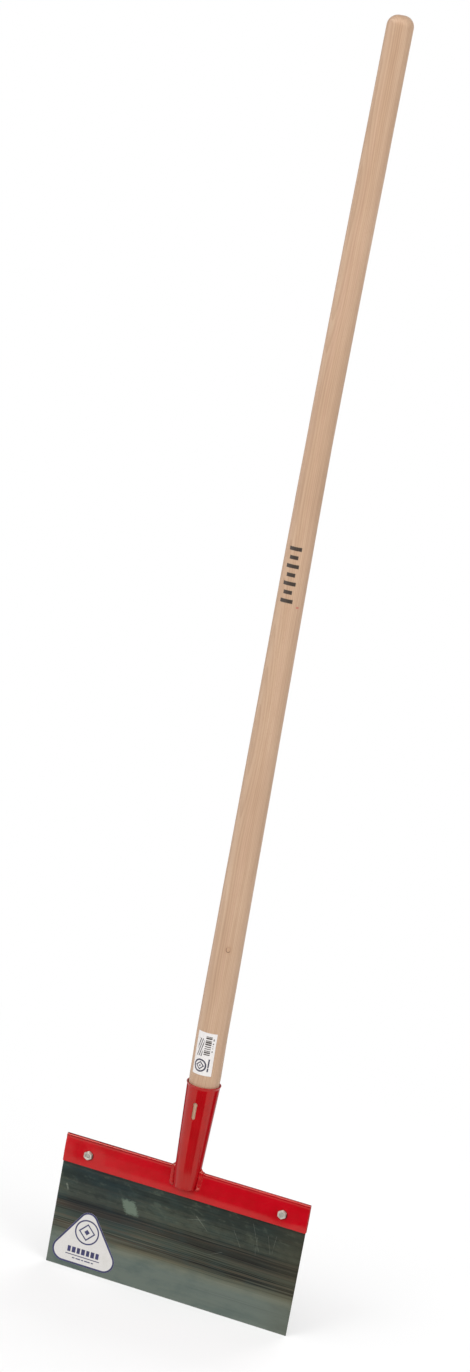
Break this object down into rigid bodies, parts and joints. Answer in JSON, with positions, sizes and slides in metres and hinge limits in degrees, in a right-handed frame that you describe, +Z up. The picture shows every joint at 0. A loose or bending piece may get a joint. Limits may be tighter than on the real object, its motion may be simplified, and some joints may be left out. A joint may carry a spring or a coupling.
{
  "type": "floor scraper",
  "caption": "Long-handled push scraper: thin steel blade bolted in a folded red holder with a welded conical socket and a straight wooden handle.",
  "frame": {"origin": "middle of the blade's cutting edge, in the mid-plane of the blade", "axes": "+Z up the blade and along the handle to its rounded end, +X along the cutting edge, and the front, where the nuts and the stickers are, faces -Y"},
  "size_m": [0.3008, 0.0407, 1.463],
  "materials": {
    "wood": "raw sanded hardwood, pale, fine straight grain",
    "red_paint": "glossy red powder coat on sheet steel",
    "tempered_steel": "tempered spring steel, dark green-grey with streaks along its width",
    "zinc": "zinc-plated, satin",
    "sticker_film": "off-white printed film",
    "label_paper": "white printed paper label with a coated face"
  },
  "bodies": {
    "root": {"handle": "wood", "socket": "red_paint", "blade_holder": "red_paint", "blade": "tempered_steel", "weld_front_left": "red_paint", "weld_front_right": "red_paint", "weld_rear_left": "red_paint", "weld_rear_right": "red_paint", "bolt_left": "zinc", "bolt_right": "zinc", "nut_left": "zinc", "nut_right": "zinc", "handle_screw": "zinc", "blade_sticker": "sticker_film", "handle_label": "label_paper"}
  },
  "joints": []
}
